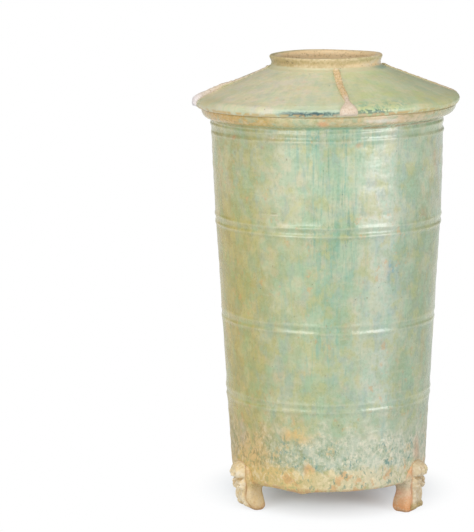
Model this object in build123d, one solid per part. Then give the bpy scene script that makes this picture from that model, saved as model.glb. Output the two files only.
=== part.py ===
from build123d import *
import os
from math import cos, hypot, radians, sin, sqrt, tan

# A pottery granary jar: a tall thrown wall on a base disc, a roof-shaped shoulder,
# a low open mouth collar, applied roof ridges and three moulded bear feet.
# Millimetres, +Z up. The origin is on the ground, under the middle of the jar.

os.makedirs("parts", exist_ok=True)

# Feet: a plain clay block behind, set in under the base, with an arched top that leans on the wall
foot_height = 21.0
foot_azimuths = {"front_left": -60.0, "front_right": 60.0, "back": 180.0}
foot_inset = 10.8
foot_standoff = 2.4
foot_base_width = 17.0
foot_shoulder_width = 19.0
foot_shoulder_height = 25.0
foot_top_height = 35.0
foot_arch_steps = 6

# Base disc
base_radius = 66.3
base_thickness = 9.0
base_edge_radius = 2.5
base_edge_steps = 1

# Wall: a gently bowed taper that turns out into the eave flange
wall_thickness = 8.0
wall_height = 255.4
wall_top_radius = 78.4
wall_bow = 0.8
flare_height = 9.4
flange_radius = 87.3
flange_height = 6.9
flange_root_step = 6.6
flange_round_step = 1.6
flange_round_height = 4.4

# Raised bands: pairs of thin ridges, placed as shares of the wall's height
band_shares = (0.2192, 0.431, 0.6903, 0.9323)
ridge_spacing = 5.3
ridge_slope = 1.3
ridge_height = 0.9

# Roof
eave_radius = 90.0
eave_height = 7.8
eave_root_step = 0.5
eave_top_step = 1.4
roof_pitch = 21.8
roof_thickness = 7.3

# Mouth collar
throat_radius = 33.5
collar_height = 6.56
collar_foot_width = 6.8
collar_foot_thickness = 1.3
neck_thickness = 3.6
mouth_lip_width = 4.9
mouth_roll_radius = 1.65
mouth_roll_start = -50.0
mouth_roll_steps = 2
mouth_round_depth = 2.2

# Roof ridges: notched strips of clay from the collar down over the eave
roof_ridge_azimuths = {"front": 9.0, "right": 99.0, "back": 189.0, "left": 279.0}
roof_ridge_width = 5.0
roof_ridge_height = 2.8
roof_ridge_flare_width = 8.6
roof_ridge_flare_length = 9.0
roof_ridge_end_height = 1.3
roof_ridge_notch_pitch = 3.6
roof_ridge_notch_depth = 0.9
roof_ridge_notch_share = 0.44
roof_ridge_gap = 0.2

# Moulded bear: a plate on the block's face, with a squatting animal raised from it.
# Each form has its place across and up, its half width and half height, and its depth
# off the block's face. One that stands to a side has its twin on the other side.
bear_plate_depth = 1.4
bear_plate_margin = 2.0
bear_ground_gap = 2.2
bear_forms = {
    "belly": (0.0, 15.0, 5.0, 7.4, 3.4),
    "head": (0.0, 27.4, 6.8, 5.4, 6.2),
    "snout": (0.0, 25.2, 3.4, 2.8, 7.8),
    "ear": (5.0, 31.4, 2.3, 2.3, 4.6),
    "arm": (5.4, 20.2, 2.2, 3.8, 4.8),
    "paw": (2.5, 18.4, 2.5, 2.1, 6.4),
    "leg": (4.2, 10.6, 2.5, 4.6, 3.6),
    "toes": (3.9, 4.7, 2.9, 2.3, 4.8),
}
bear_corners = 8
bear_draft = 6.0
bear_rim_share = 0.3
bear_rim_slope = 48.0

foot_inner_reach = base_radius - foot_inset
foot_face_reach = base_radius + foot_standoff
base_level = foot_height
floor_level = base_level + base_thickness
seam_level = base_level + wall_height
flare_level = seam_level - flare_height
first_band_level = base_level + band_shares[0] * wall_height - ridge_slope
eave_top_level = seam_level + eave_height
eave_tip_level = seam_level + eave_height / 2
eave_top_radius = eave_radius - eave_top_step
roof_slope = tan(radians(roof_pitch))
collar_foot_radius = throat_radius + collar_foot_width
neck_radius = throat_radius + neck_thickness
seat_radius = collar_foot_radius + roof_ridge_gap
seat_level = eave_top_level + (eave_top_radius - seat_radius) * roof_slope
crest_level = seat_level + collar_height


def wall_radius(level):
    """Radius of the wall's outside: a circle through its foot and its top, bowed out between them."""
    run = wall_top_radius - base_radius
    rise = flare_level - base_level
    chord = hypot(run, rise)
    bend = (chord * chord / 4 + wall_bow * wall_bow) / (2 * wall_bow)
    back = bend - wall_bow
    middle_radius = (base_radius + wall_top_radius) / 2 - back * rise / chord
    middle_level = (base_level + flare_level) / 2 + back * run / chord
    return middle_radius + sqrt(bend * bend - (level - middle_level) ** 2)


def wall_point(level, off=0.0):
    """A point of the wall's outline at a height, moved outwards by a distance."""
    return (wall_radius(level) + off, level)


def roof_level(radius, depth=0.0):
    """Height of the roof's upper face at a radius, or of a face at a depth inside it."""
    drop = depth / cos(radians(roof_pitch))
    return eave_top_level + (eave_top_radius - radius) * roof_slope - drop


def rounded(centre, radius, start, stop, steps):
    """Points round an arc from one angle to another, in even steps."""
    angles = [radians(start + (stop - start) * index / steps) for index in range(steps + 1)]
    return [(centre[0] + radius * cos(angle), centre[1] + radius * sin(angle)) for angle in angles]


def turned(*points):
    """A solid turned about the jar's axis from a closed outline of radius and height."""
    outline = Plane.XZ * make_face(Polyline(*points, close=True))
    return revolve(outline, Axis.Z, 360)


def band_points(level):
    """A pair of ridges with a groove between them, from the lower ridge's foot up."""
    upper = level + ridge_spacing
    return [
        wall_point(level - ridge_slope),
        wall_point(level, ridge_height),
        wall_point(level + ridge_spacing / 2),
        wall_point(upper, ridge_height),
        wall_point(upper + ridge_slope),
    ]


def make_wall():
    """The wall with its bands and its eave flange, standing on the base disc's rim."""
    outside = [wall_point(floor_level)]
    for share in band_shares:
        outside += band_points(base_level + share * wall_height)
    flange = [
        (flange_radius - flange_root_step, seam_level - flange_height),
        (flange_radius - flange_round_step, seam_level - flange_round_height),
        (flange_radius, seam_level),
    ]
    inside = [wall_point(level, -wall_thickness) for level in (seam_level, floor_level)]
    return turned(*outside, *flange, *inside)


def make_core(*levels):
    """The jar's outside as one solid, from the base's rounded lower edge up through some heights."""
    edge_level = base_level + base_edge_radius
    edge_centre = (wall_radius(edge_level) - base_edge_radius, edge_level)
    edge = rounded(edge_centre, base_edge_radius, -90, 0, base_edge_steps)
    return turned((0, base_level), *edge, *map(wall_point, levels), (0, levels[-1]))


def make_roof():
    """The roof: a cone with a rolled eave, a level seat for the collar and an open middle."""
    inner_edge = wall_radius(seam_level) - wall_thickness
    return turned(
        (inner_edge, seam_level),
        (flange_radius + eave_root_step, seam_level),
        (eave_radius, eave_tip_level),
        (eave_top_radius, eave_top_level),
        (seat_radius, seat_level),
        (throat_radius, seat_level),
        (throat_radius, roof_level(throat_radius, roof_thickness)),
        (inner_edge, roof_level(inner_edge, roof_thickness)),
    )


def make_collar():
    """The mouth collar: a spread foot, a short neck and a rolled lip round the throat."""
    lip_radius = throat_radius + mouth_lip_width
    roll_centre = (lip_radius - mouth_roll_radius, crest_level - mouth_roll_radius)
    return turned(
        (throat_radius, seat_level),
        (collar_foot_radius, seat_level),
        (neck_radius, seat_level + collar_foot_thickness),
        *rounded(roll_centre, mouth_roll_radius, mouth_roll_start, 90, mouth_roll_steps),
        (throat_radius, crest_level - mouth_round_depth),
    )


def make_roof_mould():
    """The roof's outside as one solid, from the eave's tip up: what a ridge is pressed on."""
    return Rot(0, 0, 180) * turned(
        (0, eave_tip_level),
        (eave_radius, eave_tip_level),
        (eave_top_radius, eave_top_level),
        (seat_radius, seat_level),
        (0, seat_level),
    )


def roof_ridge_strip():
    """A strip of clay along +X, with notches cut across its crest and a bent end over the eave."""
    along = Vector(cos(radians(roof_pitch)), -sin(radians(roof_pitch)))
    off = Vector(sin(radians(roof_pitch)), cos(radians(roof_pitch)))
    seat = Vector(seat_radius, seat_level)
    length = (eave_top_radius - seat_radius) / cos(radians(roof_pitch))

    def above(distance, lift):
        """A point at a distance down the roof from the collar, lifted off its face."""
        point = seat + along * distance + off * lift
        return (point.X, point.Y)

    crest = [above(0.0, roof_ridge_height)]
    shoulder = roof_ridge_notch_pitch * roof_ridge_notch_share / 2
    for index in range(int((length - roof_ridge_flare_length) / roof_ridge_notch_pitch)):
        notch = (index + 1 - roof_ridge_notch_share / 2) * roof_ridge_notch_pitch
        crest.append(above(notch - shoulder, roof_ridge_height))
        crest.append(above(notch, roof_ridge_height - roof_ridge_notch_depth))
        crest.append(above(notch + shoulder, roof_ridge_height))
    crest.append(above(length, roof_ridge_end_height))
    nose = (eave_radius + roof_ridge_end_height, eave_tip_level)
    outline = Polyline(*crest, nose, (seat_radius, eave_tip_level), close=True)
    return extrude(Plane.XZ * make_face(outline), roof_ridge_flare_width / 2, both=True)


def roof_ridge_plan():
    """A ridge seen from above: a narrow strip that flares at the eave."""
    near = roof_ridge_width / 2
    wide = roof_ridge_flare_width / 2
    waist = eave_radius - roof_ridge_flare_length
    far = eave_radius + roof_ridge_height
    side = [(throat_radius, near), (waist, near), (eave_radius, wide), (far, wide)]
    outline = side + [(reach, -across) for reach, across in reversed(side)]
    return extrude(make_face(Polyline(*outline, close=True)), crest_level, dir=(0, 0, 1))


def make_roof_ridge(azimuth):
    """One notched roof ridge: the strip cut to its plan, and hollowed below to lie on the roof."""
    ridge = (roof_ridge_strip() & roof_ridge_plan()) - make_roof_mould()
    return Rot(0, 0, azimuth - 90) * ridge


def foot_face(margin=0.0, ground_gap=0.0):
    """Front outline of a foot: sides that widen to the shoulders under an arched top."""
    base = foot_base_width / 2 - margin
    shoulder = foot_shoulder_width / 2 - margin
    rise = foot_top_height - margin - foot_shoulder_height
    arch = rounded((0, 0), 1.0, 0, 180, foot_arch_steps)
    top = [(shoulder * across, foot_shoulder_height + rise * up) for across, up in arch]
    return make_face(Polyline((-base, ground_gap), (base, ground_gap), *top, close=True))


def out_from(reach):
    """The plane across the front foot at a reach from the axis: across is X, up is Z, out is -Y."""
    return Plane(origin=(0, -reach, 0), x_dir=(1, 0, 0), z_dir=(0, -1, 0))


def make_foot_block(azimuth):
    """The plain block of a foot, cut to the base disc's underside and the wall's outside."""
    depth = foot_face_reach - foot_inner_reach
    block = out_from(foot_inner_reach) * extrude(foot_face(), depth)
    return Rot(0, 0, azimuth) * (block - make_core(floor_level, first_band_level))


def swelling(across, up, half_width, half_height, depth):
    """A form raised from the block's face: a many-sided outline with steep sides and a sloping rim."""
    half_corner = 180 / bear_corners
    ring = rounded((0, 0), 1.0, half_corner, 360 + half_corner, bear_corners)[:-1]
    outline = [(across + half_width * x, up + half_height * y) for x, y in ring]
    rim = min(half_width, half_height) * bear_rim_share
    sides = extrude(make_face(Polyline(*outline, close=True)), depth - rim, taper=bear_draft)
    form = sides + extrude(sides.faces().sort_by(Axis.Z)[-1], rim, taper=bear_rim_slope)
    return out_from(foot_face_reach) * form


def make_bear(azimuth):
    """The moulded bear: its forms, single or in pairs, raised from a plate that clears the ground."""
    plate = foot_face(bear_plate_margin, bear_ground_gap)
    bear = out_from(foot_face_reach) * extrude(plate, bear_plate_depth)
    for across, *sizes in bear_forms.values():
        for centre in sorted({across, -across}):
            bear += swelling(centre, *sizes)
    return Rot(0, 0, azimuth) * bear


parts = {
    "body_wall": make_wall(),
    "base_disc": make_core(floor_level),
    "roof": make_roof(),
    "mouth_collar": make_collar(),
}
for side, azimuth in roof_ridge_azimuths.items():
    parts[f"roof_ridge_{side}"] = make_roof_ridge(azimuth)
for place, azimuth in foot_azimuths.items():
    parts[f"foot_block_{place}"] = make_foot_block(azimuth)
    parts[f"bear_foot_{place}"] = make_bear(azimuth)

for name, solid in parts.items():
    export_step(solid, f"parts/{name}.step")
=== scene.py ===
import math

import bpy
import numpy as np
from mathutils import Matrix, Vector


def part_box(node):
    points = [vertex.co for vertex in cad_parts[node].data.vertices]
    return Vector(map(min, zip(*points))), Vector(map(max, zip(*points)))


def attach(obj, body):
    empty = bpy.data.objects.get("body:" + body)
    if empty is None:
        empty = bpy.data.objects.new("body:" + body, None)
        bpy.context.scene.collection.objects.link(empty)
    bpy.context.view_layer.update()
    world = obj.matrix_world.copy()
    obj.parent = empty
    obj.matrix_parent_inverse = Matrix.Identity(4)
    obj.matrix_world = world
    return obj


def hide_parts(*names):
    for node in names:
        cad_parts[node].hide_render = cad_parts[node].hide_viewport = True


# A pottery granary jar, dressed: thrown walls that lean a little, a roof-shaped shoulder
# with applied ridges, a rolled mouth and three squatting bears, under a thin worn
# copper-green glaze. Lengths are millimetres and a mesh is written in metres.
# Azimuths are measured from the front of the jar (-Y) towards its right (+X).

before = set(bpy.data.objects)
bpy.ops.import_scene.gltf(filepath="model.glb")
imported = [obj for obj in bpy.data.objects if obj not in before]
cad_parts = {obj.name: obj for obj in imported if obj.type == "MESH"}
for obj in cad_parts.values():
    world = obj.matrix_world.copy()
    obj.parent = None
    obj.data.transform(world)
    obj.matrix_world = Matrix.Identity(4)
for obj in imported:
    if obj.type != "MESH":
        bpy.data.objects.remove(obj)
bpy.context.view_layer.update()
MM = 0.001


def node_sizes(name):
    """Reach from the jar's axis, lowest level and highest level of a node of the frame, in millimetres."""
    low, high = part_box(name)
    return max(high.x, -low.x) / MM, low.z / MM, high.z / MM


# Sizes that the frame gives
flange_radius, floor_level, seam_level = node_sizes("body_wall")
base_radius, base_level, _ = node_sizes("base_disc")
eave_radius, _, seat_level = node_sizes("roof")
collar_foot_radius, _, crest_level = node_sizes("mouth_collar")
foot_height = base_level

# Wall
wall_thickness = 8.0
wall_top_radius = 78.4
wall_bow = 0.8
flare_level = seam_level - 9.4
bands = (77.0, 131.1, 196.7, 259.1)
band_spacing = 5.3
band_heights = (0.66, 0.68, 0.80, 0.80)
upper_band_heights = (0.46, 0.40, 0.80, 0.74)
band_half_width = 1.5
swell_level = 208.0
swell_depth = 0.9

# Roof and collar
roof_pitch = math.radians(21.8)
eave_top_radius = eave_radius - 1.4
eave_top_level = seam_level + 5.8
collar_base_level = seat_level - 2.0
throat_radius = 33.5
neck_radius = 37.1
lip_radius = 38.4

# Feet
foot_azimuths = {"front_left": -60.0, "front_right": 60.0, "back": 180.0}
foot_inner_reach = 55.5
foot_face_reach = 68.7
foot_half_width = 8.5
foot_shoulder_height = 25.0
foot_top_height = 35.0
bear_height = 35.4

# Roof ridges
ridge_azimuths = {"front": 9.0, "right": 99.0, "back": 189.0, "left": 279.0}
ridge_half_width = 2.4
ridge_height = 2.6
ridge_flare_half_width = 6.0
ridge_flare_length = 11.0

# Floor: how far the jar's shadow reaches, and the share of plain white laid over it
shadow_back = 24.0
shadow_start = 26.0
shadow_reach = 98.0
shadow_lift = 0.11

# How far the jar's middle stands off the axis at some heights, and how far its
# levels rise towards the right, as the hand left them
lean_levels = (0.0, 21.0, 77.0, 131.0, 197.0, 259.0, 282.0, 310.0)
leans = (2.2, 2.13, 1.44, 0.83, 0.47, -0.7, -1.0, -1.66)
tilt_levels = (0.0, 21.0, 60.0, 131.0, 197.0, 259.0, 272.0, 284.0, 304.0, 310.0)
tilts = (0.0, 0.019, 0.010, 0.0035, 0.007, 0.0175, 0.021, 0.017, 0.010, 0.010)


def smooth_step(value, start, stop):
    """0 before start, 1 after stop, and 3t^2 - 2t^3 of the share t of the way between them."""
    share = np.clip((value - start) / (stop - start), 0.0, 1.0)
    return share * share * (3.0 - 2.0 * share)


def hump(value, centre, half_width):
    """A round hump of height 1: e to the power of minus the squared distance in half widths."""
    return np.exp(-(((value - centre) / half_width) ** 2))


def full_turn(count):
    """Even azimuths of a full turn in radians, from the back round by the left, as one row of a grid."""
    return np.linspace(-np.pi, np.pi, count, endpoint=False)[None, :]


def wander(azimuth, height, seed, waves=7, round_count=6, rise=0.05):
    """Slow unevenness between about -1 and 1: a mean of cosines of whole turns of the azimuth plus a slope of the height."""
    draw = np.random.default_rng(seed)
    turns = draw.integers(0, round_count + 1, waves)
    slopes = draw.uniform(-rise, rise, waves)
    phases = draw.uniform(0, 2 * np.pi, waves)
    total = np.zeros(np.broadcast(azimuth, height).shape)
    for turn, slope, phase in zip(turns, slopes, phases):
        total = total + np.cos(turn * azimuth + slope * height + phase)
    return total / math.sqrt(waves)


def rounded_outline(points, rounds=3):
    """A closed outline with its corners cut: each round puts two points on every side, a quarter from its ends."""
    line = np.array(points, float)
    for _ in range(rounds):
        after = np.roll(line, -1, axis=0)
        line = np.stack((0.75 * line + 0.25 * after, 0.25 * line + 0.75 * after), axis=1).reshape(-1, 2)
    return line


def dense_outline(points, step):
    """A closed outline with points added along its sides, about one step apart."""
    line = np.array(points, float)
    after = np.roll(line, -1, axis=0)
    pieces = []
    for start, stop in zip(line, after):
        count = max(1, int(np.ceil(np.linalg.norm(stop - start) / step)))
        share = np.linspace(0, 1, count, endpoint=False)[:, None]
        pieces.append(start + (stop - start) * share)
    return np.concatenate(pieces)


def handed(points):
    """The lean and tilt that the hand left: x gains the lean at that height, and z gains the tilt times x."""
    height = points[..., 2]
    lean = np.interp(height, lean_levels, leans)
    tilt = np.interp(height, tilt_levels, tilts)
    out = points.copy()
    out[..., 0] = points[..., 0] + lean
    out[..., 2] = height + tilt * points[..., 0]
    return out


def turned(radius, height, azimuth):
    """Points of a turned surface: x is radius times sine of azimuth, y is minus radius times cosine, z is height."""
    radius, height, azimuth = np.broadcast_arrays(radius, height, azimuth)
    return np.stack((radius * np.sin(azimuth), -radius * np.cos(azimuth), height), axis=-1)


def shell(name, rings, closed_rows, finishes, row_finish=None, marks=None):
    """A closed mesh over a grid of points. Every row is a closed ring; the rows close on each other
    or end in a point at the middle of the first and the last ring. Marks are named values of the points."""
    rows, columns = rings.shape[:2]
    points = rings.reshape(-1, 3)
    row = np.arange(rows if closed_rows else rows - 1)[:, None]
    column = np.arange(columns)[None, :]
    next_row = (row + 1) % rows
    next_column = (column + 1) % columns
    quads = np.stack(np.broadcast_arrays(
        row * columns + column, row * columns + next_column,
        next_row * columns + next_column, next_row * columns + column), axis=-1).reshape(-1, 4)
    quad_rows = np.repeat(row[:, 0], columns)
    faces = [quads]
    face_rows = [quad_rows]
    if not closed_rows:
        ends = rings[[0, -1]].mean(axis=1)
        first, last = len(points), len(points) + 1
        points = np.concatenate((points, ends))
        low = np.arange(columns)
        high = low + (rows - 1) * columns
        faces.append(np.stack((np.roll(low, -1), low, np.full(columns, first)), axis=-1))
        faces.append(np.stack((high, np.roll(high, -1), np.full(columns, last)), axis=-1))
        face_rows += [np.zeros(columns, int), np.full(columns, rows - 1)]
    corners = np.concatenate((quads[:, :3], quads[:, [0, 2, 3]], *faces[1:]))
    a, b, c = (points[corners[:, index]] for index in range(3))
    if np.einsum("ij,ij->i", a, np.cross(b, c)).sum() < 0:
        faces = [face[:, ::-1] for face in faces]
    mesh = bpy.data.meshes.new(name)
    mesh.from_pydata((points * MM).tolist(), [], [corner for face in faces for corner in face.tolist()])
    for finish in finishes:
        mesh.materials.append(finish)
    if row_finish is not None:
        mesh.polygons.foreach_set("material_index", np.asarray(row_finish)[np.concatenate(face_rows)].astype(np.int32))
    mesh.polygons.foreach_set("use_smooth", np.ones(len(mesh.polygons), bool))
    mesh.set_sharp_from_angle(angle=math.radians(55))
    for mark, values in (marks or {}).items():
        flat = np.broadcast_to(values, (rows, columns)).reshape(-1)
        if not closed_rows:
            ends = np.broadcast_to(values, (rows, columns))[[0, -1]].mean(axis=1)
            flat = np.concatenate((flat, ends))
        layer = mesh.attributes.new(mark, "FLOAT", "POINT")
        layer.data.foreach_set("value", flat.astype(np.float32))
    mesh.update()
    piece = bpy.data.objects.new(name, mesh)
    bpy.context.scene.collection.objects.link(piece)
    return piece


def place(piece, slot, *nodes):
    """A finished piece rides on the jar and stands for its nodes, which are hidden; the slot is not used."""
    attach(piece, "root")
    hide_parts(*nodes)


# Finishes


def glaze(red, green, blue):
    """A colour written as 0 to 255 display values, turned into the linear values that a shader takes."""
    share = np.array((red, green, blue)) / 255.0
    linear = np.where(share <= 0.04045, share / 12.92, ((share + 0.055) / 1.055) ** 2.4)
    return (*linear.tolist(), 1.0)


class Finish:
    """A finish being mixed: short calls add a node to its material and give back the node's output."""

    def __init__(self, name):
        self.material = bpy.data.materials.new(name)
        self.material.use_nodes = True
        self.tree = self.material.node_tree
        self.tree.nodes.clear()
        coordinates = self.add("TexCoord", output="Object")
        self.point = self.vector("SCALE", coordinates, scale=1 / MM)
        parts = self.tree.nodes.new("ShaderNodeSeparateXYZ")
        self.tree.links.new(self.point, parts.inputs[0])
        self.x, self.y, self.z = parts.outputs
        self.azimuth = self.math("MULTIPLY", self.math("ARCTAN2", self.x, self.math("MULTIPLY", self.y, -1.0)), 180 / math.pi)
        self.radius = self.math("SQRT", self.math("ADD", self.math("MULTIPLY", self.x, self.x), self.math("MULTIPLY", self.y, self.y)))

    def add(self, kind, inputs=None, output=0, **settings):
        """A node with its settings; inputs are values or outputs, by place or by name."""
        node = self.tree.nodes.new("ShaderNode" + kind)
        for key, value in settings.items():
            setattr(node, key, value)
        for key, value in (inputs or {}).items():
            if isinstance(value, bpy.types.NodeSocket):
                self.tree.links.new(value, node.inputs[key])
            else:
                node.inputs[key].default_value = value
        return node.outputs[output] if len(node.outputs) else node

    def math(self, operation, first, second=0.0):
        return self.add("Math", {0: first, 1: second}, operation=operation)

    def vector(self, operation, first, second=(0.0, 0.0, 0.0), scale=1.0):
        inputs = {0: first, "Scale": scale} if operation == "SCALE" else {0: first, 1: second}
        return self.add("VectorMath", inputs, output="Value" if operation == "LENGTH" else "Vector", operation=operation)

    def join(self, x, y, z=0.0):
        return self.add("CombineXYZ", {0: x, 1: y, 2: z})

    def step(self, value, start, stop):
        """A soft step from 0 at start to 1 at stop, which may lie the other way round."""
        if start > stop:
            return self.add("MapRange", {0: value, 1: stop, 2: start, 3: 1.0, 4: 0.0}, interpolation_type="SMOOTHSTEP")
        return self.add("MapRange", {0: value, 1: start, 2: stop, 3: 0.0, 4: 1.0}, interpolation_type="SMOOTHSTEP")

    def both(self, *masks):
        out = masks[0]
        for mask in masks[1:]:
            out = self.math("MULTIPLY", out, mask)
        return out

    def window(self, value, low, high, soft):
        """1 between two values and 0 outside them, with soft edges."""
        return self.both(self.step(value, low - soft, low + soft), self.step(value, high + soft, high - soft))

    def noise(self, size, stretch=(1, 1, 1), detail=3.0, roughness=0.55, offset=0.0, twist=0.0):
        """Cloudy noise about 0.5 whose blobs are about size millimetres, longer along stretched axes."""
        shift = self.vector("ADD", self.point, (offset, offset * 1.7, offset * 2.3))
        scaled = self.vector("MULTIPLY", shift, tuple(1 / (size * part) for part in stretch))
        return self.add("TexNoise", {"Vector": scaled, "Scale": 1.0, "Detail": detail, "Roughness": roughness, "Distortion": twist})

    def spots(self, size, start, stop, stretch=(1, 1, 1), offset=0.0):
        """Separate round spots, one in a cell of the given size: 1 at their middle and 0 from stop out."""
        shift = self.vector("ADD", self.point, (offset, offset * 1.3, offset * 0.7))
        scaled = self.vector("MULTIPLY", shift, tuple(1 / (size * part) for part in stretch))
        return self.step(self.add("TexVoronoi", {"Vector": scaled, "Scale": 1.0}, output="Distance"), stop, start)

    def crackle(self, size, width, offset=0.0):
        """Fine net of lines between cells of the given size: 1 on a line."""
        shift = self.vector("ADD", self.point, (offset, offset, offset))
        scaled = self.vector("SCALE", shift, scale=1 / size)
        edge = self.add("TexVoronoi", {"Vector": scaled, "Scale": 1.0}, output="Distance", feature="DISTANCE_TO_EDGE")
        return self.step(edge, width, 0.0)

    def mark(self, name):
        return self.add("Attribute", output="Fac", attribute_name=name)

    def ramp(self, value, low, high, *stops):
        """Colours that follow each other along a value, each with the value where it stands."""
        share = self.add("MapRange", {0: value, 1: low, 2: high})
        out = self.add("ValToRGB", {0: share})
        elements = out.node.color_ramp.elements
        while len(elements) < len(stops):
            elements.new(0.5)
        for element, (position, colour) in zip(elements, sorted(stops)):
            element.position = (position - low) / (high - low)
            element.color = colour
        return out

    def shaken(self, value, size, stretch, amount, offset):
        """A value moved to and fro by cloudy noise."""
        sway = self.math("SUBTRACT", self.noise(size, stretch, detail=3.0, offset=offset), 0.5)
        return self.math("ADD", value, self.math("MULTIPLY", sway, amount))

    def mix(self, share, first, second, blend="MIX"):
        return self.add("Mix", {0: share, 6: first, 7: second}, output=2, data_type="RGBA", blend_type=blend)

    def lay(self, under, *coats):
        """Coats laid over a colour in turn, each a mask, a strength and a colour."""
        for mask, strength, colour in coats:
            under = self.mix(self.math("MULTIPLY", mask, strength), under, colour)
        return under

    def patch(self, azimuth, height, half_width, half_height, soft=0.6, warp=0.35):
        """A blotch on the wall: degrees round, millimetres up, with a ragged edge."""
        across = self.math("DIVIDE", self.math("SUBTRACT", self.azimuth, azimuth), half_width)
        up = self.math("DIVIDE", self.math("SUBTRACT", self.z, height), half_height)
        away = self.vector("LENGTH", self.join(across, up))
        ragged = self.math("ADD", away, self.math("MULTIPLY", self.math("SUBTRACT", self.ragged(), 0.5), warp * 4))
        return self.step(ragged, 1 + soft / 2, 1 - soft)

    def ragged(self):
        if not hasattr(self, "edge_noise"):
            self.edge_noise = self.noise(7, (1, 1, 1.6), detail=4.0, roughness=0.6, offset=11.0)
        return self.edge_noise

    def finish(self, colour, roughness, height, **sockets):
        """The shader: colour, roughness, a height in millimetres as bump, and values on its own sockets."""
        bump = self.add("Bump", {"Strength": 1.0, "Distance": MM, "Height": height})
        inputs = {"Base Color": colour, "Roughness": roughness, "Normal": bump}
        inputs.update(sockets)
        shader = self.add("BsdfPrincipled", inputs)
        self.add("OutputMaterial", {"Surface": shader})
        return self.material


CELADON = glaze(190, 198, 162)
SAGE = glaze(166, 182, 140)
CREAM = glaze(208, 208, 180)
BLUSH = glaze(214, 196, 166)
OLIVE = glaze(174, 169, 112)
STRAW = glaze(196, 184, 118)
MINT = glaze(166, 200, 170)
TURQUOISE = glaze(146, 192, 168)
SEA = glaze(112, 170, 154)
TEAL = glaze(52, 108, 118)
BLUE_GREY = glaze(168, 184, 174)
GREY_GREEN = glaze(166, 181, 154)
OCHRE = glaze(208, 178, 118)
ORANGE = glaze(216, 172, 122)
BUFF = glaze(214, 198, 166)
BROWN = glaze(138, 112, 68)
SPECK = glaze(74, 80, 56)
# Chalky white for a scratch and worn ridge tops, and also a painted highlight on the flange.
CHALK_AND_HIGHLIGHT = glaze(232, 222, 206)


def surface_height(f, crust=None):
    """Height of the glazed surface: throwing lines, orange peel, pits and, where the crust lies, grit."""
    throwing = f.math("MULTIPLY", f.noise(4.0, (12, 12, 1), detail=2.0, offset=5.0), 0.13)
    peel = f.math("MULTIPLY", f.noise(3.6, detail=3.0, roughness=0.5, offset=9.0), 0.21)
    brushed = f.math("MULTIPLY", f.noise(1.6, (1, 1, 9), detail=2.0, offset=17.0), 0.05)
    pits = f.math("MULTIPLY", f.spots(3.4, 0.0, 0.16, offset=3.0), -0.08)
    height = f.math("ADD", f.math("ADD", throwing, peel), f.math("ADD", brushed, pits))
    if crust is None:
        return height
    grit = f.math("MULTIPLY", f.noise(1.8, detail=4.0, roughness=0.65, offset=23.0), 0.55)
    lumps = f.math("MULTIPLY", f.noise(4.5, detail=3.0, offset=29.0), 0.6)
    return f.math("ADD", height, f.both(crust, f.math("ADD", grit, lumps)))


def weathered(f, colour, strength=1.0):
    """Soft patches of every tint, brushed threads, orange flecks and specks that lie over each glazed face."""
    cloud = f.noise(15.0, (1, 1, 1.3), detail=3.0, roughness=0.6, offset=37.0)
    patch = f.noise(9.0, (1, 1, 1.3), detail=3.0, roughness=0.6, offset=35.0)
    warm = f.noise(11.0, (1, 1, 1.2), detail=4.0, roughness=0.6, offset=41.0)
    cool = f.noise(8.0, (1, 1, 1.9), detail=4.0, roughness=0.6, offset=45.0)
    flecks = f.noise(5.0, (1, 1, 1.3), detail=3.0, roughness=0.6, offset=55.0)
    where = f.noise(38.0, detail=2.0, offset=57.0)
    fine = f.noise(1.7, (1, 1, 1.4), detail=3.0, roughness=0.65, offset=31.0)
    threads = f.noise(1.2, (1, 1, 14), detail=2.0, offset=33.0)
    rings = f.noise(2.0, (12, 12, 1), detail=2.0, offset=39.0)
    return f.lay(
        colour,
        (f.step(cloud, 0.48, 0.62), 0.62 * strength, glaze(210, 210, 182)),
        (f.step(cloud, 0.50, 0.37), 0.62 * strength, SAGE),
        (f.step(patch, 0.49, 0.62), 0.48 * strength, MINT),
        (f.step(patch, 0.48, 0.36), 0.60 * strength, glaze(196, 194, 136)),
        (f.step(cool, 0.52, 0.64), 0.50 * strength, BLUE_GREY),
        (f.step(warm, 0.54, 0.66), 0.36 * strength, BLUSH),
        (f.both(f.step(flecks, 0.60, 0.68), f.step(where, 0.44, 0.58)), 0.60 * strength, ORANGE),
        (f.step(fine, 0.52, 0.64), 0.26 * strength, CREAM),
        (f.step(fine, 0.48, 0.36), 0.26 * strength, glaze(148, 160, 118)),
        (f.step(threads, 0.54, 0.68), 0.13 * strength, CREAM),
        (f.step(threads, 0.46, 0.32), 0.14 * strength, glaze(140, 176, 152)),
        (f.step(rings, 0.56, 0.70), 0.22 * strength, CREAM),
        (f.both(f.spots(7.0, 0.03, 0.08, offset=2.0), f.step(f.noise(24, offset=3.0), 0.48, 0.54)), 0.7, SPECK),
        (f.spots(13.0, 0.02, 0.05, (1, 1, 1.6), offset=8.0), 0.55, BROWN),
    )


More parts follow.
